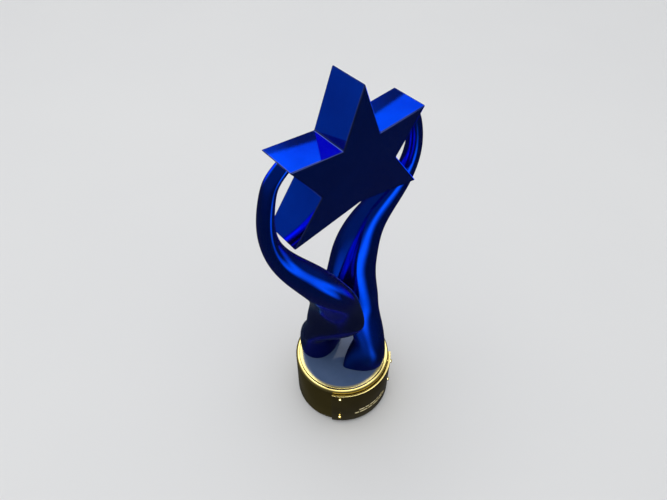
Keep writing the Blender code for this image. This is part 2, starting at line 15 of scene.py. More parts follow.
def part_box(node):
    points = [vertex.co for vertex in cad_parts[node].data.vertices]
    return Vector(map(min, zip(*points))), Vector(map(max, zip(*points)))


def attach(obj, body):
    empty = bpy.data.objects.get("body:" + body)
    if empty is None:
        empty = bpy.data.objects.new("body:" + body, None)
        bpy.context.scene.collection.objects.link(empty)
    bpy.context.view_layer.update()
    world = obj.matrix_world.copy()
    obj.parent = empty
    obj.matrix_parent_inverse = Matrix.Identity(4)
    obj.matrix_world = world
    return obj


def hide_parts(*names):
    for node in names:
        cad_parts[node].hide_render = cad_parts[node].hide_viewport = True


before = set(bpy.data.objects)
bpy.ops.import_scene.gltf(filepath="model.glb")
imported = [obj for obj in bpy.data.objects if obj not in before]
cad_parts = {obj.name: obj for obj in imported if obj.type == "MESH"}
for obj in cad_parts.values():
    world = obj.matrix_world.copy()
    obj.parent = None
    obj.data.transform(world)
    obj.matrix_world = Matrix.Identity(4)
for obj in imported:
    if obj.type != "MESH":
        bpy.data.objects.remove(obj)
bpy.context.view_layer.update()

MM_PER_METRE = 1000.0
FULL_TURN = 2.0 * math.pi
HALF_TURN = math.pi

# ---------------------------------------------------------------- places read from the frame
SHELL_LOW, SHELL_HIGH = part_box("base_shell")
RIM_LOW, RIM_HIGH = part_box("rim_ring")
DISC_LOW, DISC_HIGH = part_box("top_disc")
_, STAR_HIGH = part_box("star")
PLATE_LOW, PLATE_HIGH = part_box("nameplate")
BASE_RADIUS = SHELL_HIGH.x
BASE_TOP = RIM_HIGH.z
DISC_RADIUS = DISC_HIGH.x
STAR_HALF_THICKNESS = STAR_HIGH.y

# ---------------------------------------------------------------- shapes
GAP = 0.0003                      # left between faces that touch on the real object

STAR_TOP = (0.0, 0.3000)          # the star's corners, as x and z
STAR_UPPER_NOTCH = (0.0128, 0.2671)
STAR_SIDE_TIP = (0.0462, 0.2702)
STAR_SIDE_NOTCH = (0.0269, 0.2445)
STAR_LEG_TIP = (0.0470, 0.2167)
STAR_BOTTOM_NOTCH = (0.0, 0.2250)
STAR_EDGE_ROUND = 0.0008
PIN_TIP_DISTANCE = 0.0068         # from the star's side tip down its lower edge

# Stations of the right arm, from the foot on the disc to the end under the star's tip:
# height, x and y of the middle, half length, half width, direction of the long axis in
# degrees, and how far the section narrows to a tail at that end.
ARM_STATIONS_MM = (
    (50.1, 8.2, -16.6, 17.8, 15.4, 167, 0.60),
    (61.6, 11.0, -17.3, 15.2, 14.8, 150, 0.35),
    (73.2, 13.8, -16.4, 12.4, 13.7, 140, 0.20),
    (84.7, 14.4, -9.2, 14.6, 12.4, 131, 0.25),
    (100.1, 12.6, 2.2, 20.0, 11.6, 128, 0.20),
    (115.5, 12.3, 6.2, 21.0, 11.6, 130, 0.10),
    (134.8, 15.0, 8.6, 18.0, 11.8, 130, 0.0),
    (154.0, 21.6, 11.6, 16.0, 11.4, 124, 0.0),
    (177.1, 34.0, 11.0, 11.8, 10.8, 112, 0.0),
    (202.1, 50.2, 4.9, 7.4, 8.3, 130, 0.0),
    (227.2, 57.0, 1.8, 5.3, 6.4, 162, 0.0),
    (248.0, 53.8, 0.2, 4.3, 5.2, 180, 0.0),
    (258.6, 49.2, 0.0, 4.0, 4.8, 180, 0.0),
)
ARM_END_HALF_LENGTH_MM = 3.9
ARM_END_HALF_WIDTH_MM = 4.5
ARM_RING_COUNT = 150
ARM_RING_POINTS = 72
ARM_LEVEL_STATIONS = 4.0          # sections stay level up to this station
ARM_SQUARE_STATIONS = 8.0         # and are square to the arm from this one on
ARM_SEAT_STATIONS = 1.5           # over this many, at the end, they turn to face the star's edge

EDGE_ROUND = 0.0004
RIM_OUTER_ROUND = 0.0021
PLATE_RECESS_HEIGHT = 0.0030      # under the base, for the base plate
DISC_LEDGE_WIDTH = 0.0018         # step inside the shell that the disc rests on

NAMEPLATE_ARC = math.radians(104.0)
NAMEPLATE_THICKNESS = 0.0020
NAMEPLATE_INNER_RADIUS = BASE_RADIUS + GAP
NAMEPLATE_OUTER_RADIUS = NAMEPLATE_INNER_RADIUS + NAMEPLATE_THICKNESS
NAMEPLATE_SCREW_ANGLE = math.radians(42.5)
NAMEPLATE_SCREW_HEIGHTS = (0.0110, 0.0415)
SCREW_HEAD_RADIUS = 0.0017
SCREW_HEAD_HEIGHT = 0.0012
SCREW_SHANK_RADIUS = 0.0009
SCREW_LENGTH = 0.0060
SCREW_SLOT_WIDTH = 0.0005
SCREW_SLOT_DEPTH = 0.0005
SCREW_SLOT_FIRST_TURN = math.radians(25.0)
SCREW_SLOT_TURN_STEP = math.radians(47.0)
ENGRAVING_DEPTH = 0.0004
ENGRAVING_BAR_HEIGHT = 0.0017
ENGRAVING_GAP = math.radians(1.3)
ENGRAVING_STEP = math.radians(1.0)
# Two rows of plain engraved bars: height of the row and the bars' arcs in degrees.
ENGRAVING_ROWS = ((0.0185, (7, 5, 9, 4, 8)), (0.0145, (5, 10, 6, 8, 7, 6)))
# Block that holds both rows, where what lies behind the plate's face is enamel.
ENAMEL_MIDDLE = 0.5 * (ENGRAVING_ROWS[0][0] + ENGRAVING_ROWS[1][0])
ENAMEL_HALF_HEIGHT = 0.0032
ENAMEL_HALF_WIDTH = 0.0200

# ---------------------------------------------------------------- fineness of the meshes
TURNED_STEPS = 192                # steps round the base, rim and disc
SCREW_STEPS = 40
SCREW_DOME_POINTS = 12
NAMEPLATE_STEPS = 104
STAR_EDGE_ANGLE = math.radians(30.0)        # edges that turn by more than this are rounded
NAMEPLATE_EDGE_ANGLE = math.radians(40.0)

# ---------------------------------------------------------------- where the finishes change
ARM_SATIN_HEIGHTS = (0.055, 0.125)          # an arm is satin below these and fully polished above
ARM_SATIN_ROUGHNESS = 0.24                  # added where it is satin
RIGHT_PAINTED_SHADE_HEIGHTS = (0.055, 0.105)         # painted shade: an arm's blue is darkened below these, higher up on the left arm
LEFT_PAINTED_SHADE_HEIGHTS = (0.132, 0.172)
DISC_LACQUER_MIDDLE = (-0.0008, -0.0010)    # the lacquer lies a little off the disc's middle
DISC_LACQUER_RADII = (0.0314, 0.0342)       # the dark lacquer fades out to bare gold between these
DISC_BARE_ROUGHNESS = 0.20                  # added where the gold is bare
DISC_SPECULAR_LEVEL = 0.2
DUST_SHEEN = 0.03                           # trace of dust on the blue metal

# ---------------------------------------------------------------- textures
# A scale is blotches or lines per metre, or per metre along each axis after a turn in radians.
METAL_CLOUDS = 38.0
METAL_SMUDGES = 70.0
METAL_WEAR_BREAKS = 420.0
METAL_WORN_RADIUS = 0.0007                  # how far from an edge the wear reaches
HAIRLINES = (5200.0, 130.0, 900.0)
HAIRLINES_TURN = (0.3, 0.5, 0.9)
CROSS_HAIRLINES = (160.0, 4300.0, 1400.0)
CROSS_HAIRLINES_TURN = (0.8, 0.2, 0.4)
HAIRLINE_DEPTH = 0.000004
DISC_TURNING_MARKS = 900.0
DISC_TURNING_DEPTH = 0.000002
ZINC_HAIRLINES = (3000.0, 3000.0, 250.0)
FELT_FIBRES = (2600.0, 1900.0, 2600.0)
FELT_FIBRES_TURN = (0.0, 0.0, 0.6)

# ---------------------------------------------------------------- colours (linear)
BLUE_GRAZING = (0.120, 0.220, 0.800)
# painted shade: the dark blue that an arm's lower part is turned to
BLUE_PAINTED_SHADE = (0.002, 0.022, 0.210)
DUST = (0.720, 1.000, 0.900)
PALE_GOLD = (1.000, 0.930, 0.640)
ENAMEL = (0.960, 0.880, 0.600)
SLATE = (0.080, 0.124, 0.228)
SLATE_DEEP = (0.061, 0.100, 0.192)
IRON = (0.060, 0.060, 0.064)
IRON_PALER = (0.170, 0.160, 0.150)
RUST = (0.210, 0.095, 0.045)
ZINC = (0.430, 0.440, 0.450)
ZINC_PALER = (0.640, 0.620, 0.570)
PAINT = (0.014, 0.014, 0.015)
PAINT_PALER = (0.034, 0.033, 0.032)
PAINT_CHIP = (0.30, 0.30, 0.31)
FELT = (0.012, 0.040, 0.026)
FELT_PALER = (0.024, 0.062, 0.042)
FELT_FIBRE = (0.060, 0.110, 0.080)


class Metal(NamedTuple):
    """Polished metal of one colour and finish."""

    colour: tuple
    deep: tuple                   # its colour in the darker clouds
    worn: tuple                   # its colour on worn edges
    gloss: float                  # roughness where it is clean
    haze: float                   # roughness that handling adds
    edge_wear: float              # how much of the worn colour the edges show


DARK_GOLD = Metal((0.400, 0.315, 0.110), (0.270, 0.205, 0.065), PALE_GOLD, 0.13, 0.12, 0.6)
BRIGHT_GOLD = Metal((0.880, 0.740, 0.280), (0.780, 0.620, 0.210), PALE_GOLD, 0.08, 0.08, 0.6)
BLUE_EDGE = Metal((0.085, 0.120, 0.450), (0.030, 0.070, 0.400), BLUE_GRAZING, 0.06, 0.08, 0.0)
BLUE_STAR = Metal((0.001, 0.052, 0.640), (0.001, 0.038, 0.540), (0.300, 0.360, 0.720), 0.02, 0.035, 0.7)
BLUE_ARM = BLUE_STAR._replace(gloss=0.10, haze=0.05)

# ---------------------------------------------------------------- studio
FLOOR_HALF_SIDE = 4.0
FLOOR_COLOUR = (0.70, 0.70, 0.70)
FLOOR_COLOUR_PALER = (0.74, 0.74, 0.73)
FLOOR_ROUGHNESS = 0.7
OVERHEAD_PLACE = (-0.2, 0.3, 1.8)
OVERHEAD_SIDE = 1.2
OVERHEAD_RADIANCE = 1.5
# Matt surfaces see an even pale surround. Mirrors see a dim one with soft patches; it brightens
# between two heights, which are sines of the elevation.
PALE_COLOUR = (0.80, 0.81, 0.83)
PALE_RADIANCE = 1.05
DIM_COLOUR = (0.98, 0.99, 1.00)
DIM_HEIGHTS = (-0.35, 0.25)
DIM_RADIANCES = (0.06, 0.16)
# Soft patches, in degrees: azimuth from +Y towards +X, elevation, half width, half height,
# softness of the edge; then radiance.
SURROUND_PATCHES = (
    (86.0, 31.0, 24.0, 19.0, 4.0, 1.2),
    (21.0, 26.0, 13.0, 14.0, 4.0, 1.2),
    (0.0, 90.0, 22.0, 22.0, 5.0, 1.3),
)
# Cards at the ceiling that only mirrors see: name, two corners, radiance.
CEILING_HEIGHT = 1.5
CEILING_CARDS = (
    ("card_far", (-0.30, 0.85), (1.60, 1.138), 1.28),
    ("card_near", (-0.30, 0.40), (1.60, 0.85), 0.95),
    ("card_left_face", (0.90, 1.25), (2.00, 1.642), 1.28),
)
# Soft cards round the trophy that each light a few pieces: name, pieces, azimuth, elevation,
# width and height in degrees, radiance.
CARD_DISTANCE = 1.2
CARD_AIM_HEIGHT = 0.16
CARD_SOFTNESS = 0.7               # share of a card's half size over which it fades
LEFT_ARM = ("swept_arm_left",)
RIGHT_ARM = ("swept_arm_right",)
STAR_BODY = ("star_body",)
GOLD_TOP = ("gold_rim", "lacquered_top", "curved_nameplate")
SCREWS = ("dome_screw_1", "dome_screw_2", "dome_screw_3", "dome_screw_4")
LINKED_CARDS = (
    ("card_star_edges", STAR_BODY, 88.0, -24.0, 44.0, 34.0, 4.0),
    ("card_star_rims", STAR_BODY, 150.0, 37.0, 30.0, 24.0, 1.5),
    ("card_star_sides", STAR_BODY, -52.0, -4.0, 90.0, 70.0, 0.22),
    ("card_screws", SCREWS, -136.0, 42.0, 100.0, 100.0, 7.0),
    ("card_gold", GOLD_TOP, 46.0, 38.0, 50.0, 40.0, 1.9),
    ("card_gold_above", GOLD_TOP, 0.0, 90.0, 128.0, 128.0, 0.9),
    ("card_right_foot", RIGHT_ARM, 245.0, -17.0, 110.0, 50.0, 0.44),
    ("card_star_leg", LEFT_ARM, 15.0, 15.0, 110.0, 60.0, 1.6),
)
# Bands of overlapping soft round lights that draw one long highlight each: name, pieces, bends
# of the band as azimuth and elevation, number of lights, radius of each in degrees, radiance.
LIGHT_BANDS = (
    ("band_left_start", LEFT_ARM, ((98, -28), (118, -16)), 3, 15.0, 0.55),
    ("band_left", LEFT_ARM,
     ((130, -9), (139, -4), (152, -3), (163, -10), (166, -20)), 5, 15.0, 1.15),
    ("band_left_fill", LEFT_ARM, ((148, -17), (157, -27)), 2, 14.0, 0.9),
    ("band_right", RIGHT_ARM, ((214, 0), (213, -9), (204, -22), (194, -36)), 4, 20.0, 1.1),
)

# ---------------------------------------------------------------- camera
CAMERA_PLACE = (-0.1523, -0.1729, 0.4276)
CAMERA_PITCH = math.radians(42.25)
CAMERA_HEADING = math.radians(-39.58)
CAMERA_LENS_MM = 28.03
CAMERA_SENSOR_MM = 36.0
CAMERA_NEAR = 0.01


# ---------------------------------------------------------------- object helpers
def new_piece(name, mesh, material, slot, *nodes):
    """Shown object that stands for CAD nodes and takes the material it is given; the slot is not used.
    """
    piece = bpy.data.objects.new(name, mesh)
    bpy.context.scene.collection.objects.link(piece)
    mesh.materials.append(material)
    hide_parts(*nodes)
    return piece


def apply_modifiers(piece):
    """Replaces the piece's mesh with its evaluated one, so that cutters can be removed."""
    evaluated = piece.evaluated_get(bpy.context.evaluated_depsgraph_get())
    mesh = bpy.data.meshes.new_from_object(evaluated)
    piece.modifiers.clear()
    piece.data = mesh


def cut(piece, cutters):
    """Cuts temporary cutters out of a piece."""
    for cutter in cutters:
        boolean = piece.modifiers.new(cutter.name, "BOOLEAN")
        boolean.operation = "DIFFERENCE"
        boolean.solver = "EXACT"
        boolean.object = cutter
    bpy.context.view_layer.update()
    apply_modifiers(piece)
    for cutter in cutters:
        bpy.data.objects.remove(cutter, do_unlink=True)


def new_cutter(name, mesh, place=Matrix.Identity(4)):
    """Temporary object, placed where it cuts."""
    cutter = bpy.data.objects.new(name, mesh)
    bpy.context.scene.collection.objects.link(cutter)
    cutter.matrix_world = place
    cutter.hide_render = True
    return cutter


def mesh_from_bmesh(name, bm):
    """Mesh with the bmesh's shape; the bmesh is freed."""
    mesh = bpy.data.meshes.new(name)
    bm.to_mesh(mesh)
    bm.free()
    return mesh


def shade(mesh, angle_degrees=35.0):
    """Smooth shading, with sharp edges where the faces turn by more than an angle."""
    mesh.shade_smooth()
    mesh.set_sharp_from_angle(angle=math.radians(angle_degrees))


def turned_mesh(name, profile, steps, closed=False):
    """Surface swept by a profile of (radius, height) points turned round the Z axis."""
    bm = bmesh.new()
    rings = []
    for radius, height in profile:
        angles = np.linspace(0.0, FULL_TURN, steps, endpoint=False) if radius > 0.0 else [0.0]
        rings.append([
            bm.verts.new((radius * math.cos(a), radius * math.sin(a), height)) for a in angles])
    pairs = list(zip(rings, rings[1:]))
    if closed:
        pairs.append((rings[-1], rings[0]))
    for first, second in pairs:
        for i in range(steps):
            corners = (first[i % len(first)], first[(i + 1) % len(first)],
                       second[(i + 1) % len(second)], second[i % len(second)])
            bm.faces.new(dict.fromkeys(corners))      # a triangle where a ring is one point
    bmesh.ops.recalc_face_normals(bm, faces=bm.faces)
    mesh = mesh_from_bmesh(name, bm)
    shade(mesh)
    return mesh


def arc(centre, radius, start_degrees, end_degrees, count):
    """Points of an arc in the (radius, height) plane, both ends included."""
    angles = np.radians(np.linspace(start_degrees, end_degrees, count))
    return [(centre[0] + radius * math.cos(a), centre[1] + radius * math.sin(a)) for a in angles]


def along(direction, centre):
    """Placement that turns +Z to a direction and moves the origin to a centre."""
    turn = Vector(direction).to_track_quat("Z", "Y").to_matrix().to_4x4()
    return Matrix.Translation(centre) @ turn


# ---------------------------------------------------------------- material helpers
class Graph:
    """Small builder for the nodes of a material, a world or a light."""

    def __init__(self, tree):
        self.tree = tree

    def add(self, kind, **inputs):
        """New node with values or links on its inputs; _ in a name stands for a space."""
        node = self.tree.nodes.new(kind)
        for socket, value in inputs.items():
            self.put(value, node.inputs[socket.replace("_", " ")])
        return node

    def put(self, value, socket):
        if isinstance(value, bpy.types.NodeSocket):
            self.tree.links.new(value, socket)
        elif isinstance(value, tuple) and socket.type == "RGBA":
            socket.default_value = (*value, 1.0)
        else:
            socket.default_value = value

    def spread(self, value, low, high, to_low, to_high, smooth=False):
        """Value between low and high mapped to to_low and to_high, and held beyond them."""
        node = self.add(
            "ShaderNodeMapRange", Value=value, From_Min=low, From_Max=high, To_Min=to_low,
            To_Max=to_high)
        if smooth:
            node.interpolation_type = "SMOOTHSTEP"
        return node.outputs["Result"]

    def math(self, operation, first, second=0.0):
        node = self.tree.nodes.new("ShaderNodeMath")
        node.operation = operation
        self.put(first, node.inputs[0])
        self.put(second, node.inputs[1])
        return node.outputs[0]

    def split(self, vector):
        """X, Y and Z of a vector."""
        return self.add("ShaderNodeSeparateXYZ", Vector=vector).outputs

    def dot(self, first, second):
        node = self.tree.nodes.new("ShaderNodeVectorMath")
        node.operation = "DOT_PRODUCT"
        self.put(first, node.inputs[0])
        self.put(second, node.inputs[1])
        return node.outputs["Value"]


class Nodes(Graph):
    """Builder for one material's nodes."""

    def __init__(self, name):
        self.material = bpy.data.materials.new(name)
        self.material.use_nodes = True
        super().__init__(self.material.node_tree)
        self.shader = self.tree.nodes["Principled BSDF"]
        self.coordinates = self.tree.nodes.new("ShaderNodeTexCoord").outputs["Object"]

    def stretched(self, scale, turn):
        """Coordinates turned and then scaled along each axis."""
        mapping = self.add("ShaderNodeMapping", Vector=self.coordinates)
        mapping.inputs["Scale"].default_value = scale
        mapping.inputs["Rotation"].default_value = turn
        return mapping.outputs["Vector"]

    def noise(self, scale, detail=3.0, roughness=0.5, turn=(0.0, 0.0, 0.0)):
        """Noise of one scale, or of a scale along each axis after a turn."""
        vector = self.coordinates
        if isinstance(scale, tuple):
            vector = self.stretched(scale, turn)
            scale = 1.0
        node = self.add(
            "ShaderNodeTexNoise", Vector=vector, Scale=scale, Detail=detail, Roughness=roughness)
        return node.outputs["Fac"]

    def mix(self, factor, first, second):
        """Colour between two; sockets 6 and 7 and output 2 are the mix node's colour ones."""
        node = self.tree.nodes.new("ShaderNodeMix")
        node.data_type = "RGBA"
        self.put(factor, node.inputs[0])
        self.put(first, node.inputs[6])
        self.put(second, node.inputs[7])
        return node.outputs[2]

    def distance_from_axis(self, middle=(0.0, 0.0)):
        """Distance from an upright axis through a middle (x, y)."""
        place = self.split(self.coordinates)
        flat = self.add(
            "ShaderNodeCombineXYZ", X=self.math("SUBTRACT", place["X"], middle[0]),
            Y=self.math("SUBTRACT", place["Y"], middle[1]))
        length = self.add("ShaderNodeVectorMath", Vector=flat.outputs["Vector"])
        length.operation = "LENGTH"
        return length.outputs["Value"]

    def edge(self, radius, low, high):
        """0 on flat stretches, rising to 1 within a radius of an edge."""
        bevel = self.tree.nodes.new("ShaderNodeBevel")
        bevel.samples = 6
        bevel.inputs["Radius"].default_value = radius
        geometry = self.tree.nodes.new("ShaderNodeNewGeometry")
        dot = self.dot(bevel.outputs["Normal"], geometry.outputs["Normal"])
        return self.spread(self.math("SUBTRACT", 1.0, dot), low, high, 0.0, 1.0)

    def bump(self, *layers):
        """Stacks layers of bump, each a height, its depth in metres and its strength."""
        normal = None
        for height, distance, strength in layers:
            node = self.tree.nodes.new("ShaderNodeBump")
            node.inputs["Strength"].default_value = strength
            node.inputs["Distance"].default_value = distance
            self.tree.links.new(height, node.inputs["Height"])
            if normal is not None:
                self.tree.links.new(normal, node.inputs["Normal"])
            normal = node.outputs["Normal"]
        self.tree.links.new(normal, self.shader.inputs["Normal"])

    def finish(self, colour, roughness, metallic):
        """The material, once its shader has a colour, a roughness and a metallic share."""
        self.put(colour, self.shader.inputs["Base Color"])
        self.put(roughness, self.shader.inputs["Roughness"])
        self.put(metallic, self.shader.inputs["Metallic"])
        return self.material


def polished_layers(name, metal):
    """Builder, tint and roughness of a metal with clouds, smudges, hairlines and worn edges."""
    nodes = Nodes(name)
    cloud = nodes.spread(nodes.noise(METAL_CLOUDS, 4.0, 0.55), 0.35, 0.68, 0.0, 1.0)
    tint = nodes.mix(cloud, metal.colour, metal.deep)
    wear_break = nodes.spread(nodes.noise(METAL_WEAR_BREAKS, 5.0, 0.6), 0.30, 0.70, 0.35, 1.0)
    wear = nodes.math("MULTIPLY", nodes.edge(METAL_WORN_RADIUS, 0.02, 0.20), wear_break)
    wear = nodes.math("MULTIPLY", wear, metal.edge_wear)
    tint = nodes.mix(wear, tint, metal.worn)
    smudge = nodes.spread(nodes.noise(METAL_SMUDGES, 6.0, 0.62), 0.42, 0.75, 0.0, 1.0)
    hairs = nodes.noise(HAIRLINES, 2.0, 0.5, HAIRLINES_TURN)
    hairs_across = nodes.noise(CROSS_HAIRLINES, 2.0, 0.5, CROSS_HAIRLINES_TURN)
    roughness = nodes.math("ADD", nodes.math("MULTIPLY", smudge, metal.haze), metal.gloss)
    roughness = nodes.math("ADD", roughness, nodes.spread(hairs, 0.60, 0.75, 0.0, 0.03))
    nodes.bump((hairs, HAIRLINE_DEPTH, 0.25), (hairs_across, HAIRLINE_DEPTH, 0.20))
    return nodes, tint, roughness


def polished_metal(name, metal):
    nodes, tint, roughness = polished_layers(name, metal)
    nodes.shader.inputs["Specular Tint"].default_value = (*metal.worn, 1.0)
    return nodes.finish(tint, roughness, 1.0)


def blue_metal(name, metal, painted_shade_heights=None):
    """Blue mirror metal with a trace of dust; an arm's turns satin towards its foot, and is darkened
    below given heights as painted shade.
    """
    nodes, tint, roughness = polished_layers(name, metal)
    if painted_shade_heights:
        height = nodes.split(nodes.coordinates)["Z"]
        satin = nodes.spread(height, *ARM_SATIN_HEIGHTS, ARM_SATIN_ROUGHNESS, 0.0, smooth=True)
        roughness = nodes.math("ADD", roughness, satin)
        # painted shade: the blue darkens below the given heights
        foot = nodes.spread(height, *painted_shade_heights, 1.0, 0.0, smooth=True)
        tint = nodes.mix(foot, tint, BLUE_PAINTED_SHADE)
    nodes.shader.inputs["Specular Tint"].default_value = (*BLUE_GRAZING, 1.0)
    nodes.shader.inputs["Sheen Weight"].default_value = DUST_SHEEN
    nodes.shader.inputs["Sheen Tint"].default_value = (*DUST, 1.0)
    return nodes.finish(tint, roughness, 1.0)


def nameplate_metal():
    """Dark gold plate with a bright outer edge and pale enamel in its engraved bars."""
    nodes, tint, roughness = polished_layers("nameplate_gold", DARK_GOLD)
    distance = nodes.distance_from_axis()
    behind_face = nodes.math("LESS_THAN", distance, NAMEPLATE_OUTER_RADIUS - 0.5 * ENGRAVING_DEPTH)
    outer_edge = nodes.math("GREATER_THAN", distance, NAMEPLATE_OUTER_RADIUS - 2.0 * EDGE_ROUND)
    tint = nodes.mix(nodes.math("MULTIPLY", behind_face, outer_edge), tint, BRIGHT_GOLD.colour)
    place = nodes.split(nodes.coordinates)
    sideways = nodes.math("ABSOLUTE", place["X"])
    off_rows = nodes.math("ABSOLUTE", nodes.math("SUBTRACT", place["Z"], ENAMEL_MIDDLE))
    enamel = nodes.math("MULTIPLY", behind_face, nodes.math("LESS_THAN", sideways, ENAMEL_HALF_WIDTH))
    enamel = nodes.math("MULTIPLY", enamel, nodes.math("LESS_THAN", off_rows, ENAMEL_HALF_HEIGHT))
    tint = nodes.mix(enamel, tint, ENAMEL)
    return nodes.finish(tint, roughness, nodes.math("SUBTRACT", 1.0, enamel))


def lacquered_disc():
    """Dark blue-grey gloss lacquer that fades to bare gold at the edge, with faint turning marks."""
    nodes = Nodes("lacquered_disc")
    cloud = nodes.spread(nodes.noise(45.0, 4.0, 0.5), 0.35, 0.65, 0.0, 1.0)
    tint = nodes.mix(cloud, SLATE, SLATE_DEEP)
    distance = nodes.distance_from_axis(DISC_LACQUER_MIDDLE)
    bare = nodes.spread(distance, *DISC_LACQUER_RADII, 0.0, 1.0, smooth=True)
    tint = nodes.mix(bare, tint, BRIGHT_GOLD.colour)
    rings = nodes.add(
        "ShaderNodeTexWave", Vector=nodes.coordinates, Scale=DISC_TURNING_MARKS, Distortion=1.5)
    rings.wave_type = "RINGS"
    rings.rings_direction = "Z"
    smudge = nodes.spread(nodes.noise(90.0, 5.0, 0.6), 0.40, 0.75, 0.05, 0.16)
    roughness = nodes.math("ADD", smudge, nodes.math("MULTIPLY", bare, DISC_BARE_ROUGHNESS))
    nodes.bump((rings.outputs["Fac"], DISC_TURNING_DEPTH, 0.1))
    nodes.shader.inputs["Specular IOR Level"].default_value = DISC_SPECULAR_LEVEL
    return nodes.finish(tint, roughness, bare)


def cast_iron():
    nodes = Nodes("cast_iron_skin")
    cloud = nodes.noise(60.0, 6.0, 0.65)
    tint = nodes.mix(cloud, IRON, IRON_PALER)
    rust = nodes.spread(nodes.noise(130.0, 8.0, 0.7), 0.60, 0.72, 0.0, 0.7)
    tint = nodes.mix(rust, tint, RUST)
    nodes.bump((nodes.noise(700.0, 6.0, 0.7), 0.0003, 0.8))
    return nodes.finish(tint, nodes.spread(cloud, 0.3, 0.7, 0.55, 0.80), 0.6)


def zinc_plate():
    nodes = Nodes("zinc_plated_steel")
    cloud = nodes.noise(400.0, 5.0, 0.6)
    tint = nodes.mix(cloud, ZINC, ZINC_PALER)
    hairs = nodes.noise(ZINC_HAIRLINES, 2.0, 0.5)
    nodes.bump((hairs, 0.00001, 0.4))
    return nodes.finish(tint, nodes.spread(cloud, 0.3, 0.7, 0.24, 0.42), 1.0)


def black_paint():
    nodes = Nodes("black_paint")
    cloud = nodes.noise(90.0, 5.0, 0.6)
    tint = nodes.mix(cloud, PAINT, PAINT_PALER)
    chips = nodes.math("MULTIPLY", nodes.edge(0.0006, 0.02, 0.25), nodes.noise(600.0, 5.0, 0.6))
    tint = nodes.mix(chips, tint, PAINT_CHIP)
    nodes.bump((nodes.noise(1800.0, 3.0, 0.5), 0.00005, 0.5))
    return nodes.finish(tint, nodes.spread(cloud, 0.3, 0.7, 0.38, 0.60), 0.0)


def felt():
    nodes = Nodes("green_felt")
    fibres = nodes.noise(FELT_FIBRES, 4.0, 0.7, FELT_FIBRES_TURN)
    cloud = nodes.noise(120.0, 5.0, 0.6)
    tint = nodes.mix(cloud, FELT, FELT_PALER)
    tint = nodes.mix(nodes.spread(fibres, 0.5, 0.8, 0.0, 0.6), tint, FELT_FIBRE)
    nodes.bump((fibres, 0.0003, 1.0))
    nodes.shader.inputs["Sheen Weight"].default_value = 0.5
    return nodes.finish(tint, nodes.spread(fibres, 0.3, 0.7, 0.85, 1.0), 0.0)


# ---------------------------------------------------------------- arms
def star_face_frame():
    """Middle of the arm's end on the star's lower right edge, and the way into the star."""
    tip = Vector((STAR_SIDE_TIP[0], 0.0, STAR_SIDE_TIP[1]))
    notch = Vector((STAR_SIDE_NOTCH[0], 0.0, STAR_SIDE_NOTCH[1]))
    edge = (notch - tip).normalized()
    inward = Vector((edge.z, 0.0, -edge.x))
    return tip + edge * PIN_TIP_DISTANCE, inward


def natural_spline(values, positions):
    """Natural cubic spline through values at 0, 1, 2 ..., and its slope, at the positions."""
    values = np.asarray(values, dtype=float)
    count = len(values)
    system = np.eye(count)
    right_side = np.zeros_like(values)
    for i in range(1, count - 1):
        system[i, i - 1:i + 2] = (1.0, 4.0, 1.0)
        right_side[i] = 6.0 * (values[i - 1] - 2.0 * values[i] + values[i + 1])
    bend = np.linalg.solve(system, right_side)
    low = np.minimum(positions.astype(int), count - 2)
    t = (positions - low)[:, None]
    s = 1.0 - t
    v0, v1, m0, m1 = values[low], values[low + 1], bend[low], bend[low + 1]
    curve = s * v0 + t * v1 + ((s ** 3 - s) * m0 + (t ** 3 - t) * m1) / 6.0
    slope = v1 - v0 + ((1.0 - 3.0 * s ** 2) * m0 + (3.0 * t ** 2 - 1.0) * m1) / 6.0
    return curve, slope


def smooth_step(values, low, high):
    """0 up to low, 1 from high on, and a smooth rise between."""
    t = np.clip((values - low) / (high - low), 0.0, 1.0)
    return t * t * (3.0 - 2.0 * t)


def unit(vectors):
    """Each row scaled to length 1."""
    return vectors / np.linalg.norm(vectors, axis=1)[:, None]


def arm_sections():
    """Rings of points of the right arm, from the foot up to its end under the star."""
    face, inward = star_face_frame()
    end = (face - inward * GAP) * MM_PER_METRE
    last = (end.z, end.x, end.y, ARM_END_HALF_LENGTH_MM, ARM_END_HALF_WIDTH_MM, 180.0, 0.0)
    stations = np.array(ARM_STATIONS_MM + (last,))
    final = len(stations) - 1
    positions = np.linspace(0.0, final, ARM_RING_COUNT)
    curve, slope = natural_spline(stations, positions)
    middle = curve[:, [1, 2, 0]]
    # Sections face straight up near the foot, then along the arm, and at the end into the star.
    heading = unit(slope[:, [1, 2, 0]])
    square = smooth_step(positions, ARM_LEVEL_STATIONS, ARM_SQUARE_STATIONS)[:, None]
    heading = unit(heading * square + np.array((0.0, 0.0, 1.0)) * (1.0 - square))
    seat = smooth_step(positions, final - ARM_SEAT_STATIONS, final)[:, None]
    heading = unit(heading * (1.0 - seat) + np.array(inward) * seat)
    # The long axis keeps its direction seen from above, and lies square to the heading.
    turn = np.radians(curve[:, 5])
    long_axis = np.stack((np.cos(turn), np.sin(turn), np.zeros_like(turn)), axis=1)
    long_axis = unit(long_axis - heading * np.sum(long_axis * heading, axis=1)[:, None])
    short_axis = np.cross(heading, long_axis)
    # A section is an oval that narrows to a tail at one end of its long axis.
    angles = np.linspace(0.0, FULL_TURN, ARM_RING_POINTS, endpoint=False)
    tail = np.clip(curve[:, 6], 0.0, 1.0)[:, None] * ((1.0 + np.cos(angles)) / 2.0) ** 2
    lengthwise = curve[:, 3:4] * np.cos(angles)
    crosswise = curve[:, 4:5] * np.sin(angles) * (1.0 - tail)
    rings = (middle[:, None, :] + lengthwise[:, :, None] * long_axis[:, None, :]
             + crosswise[:, :, None] * short_axis[:, None, :])
    return rings / MM_PER_METRE


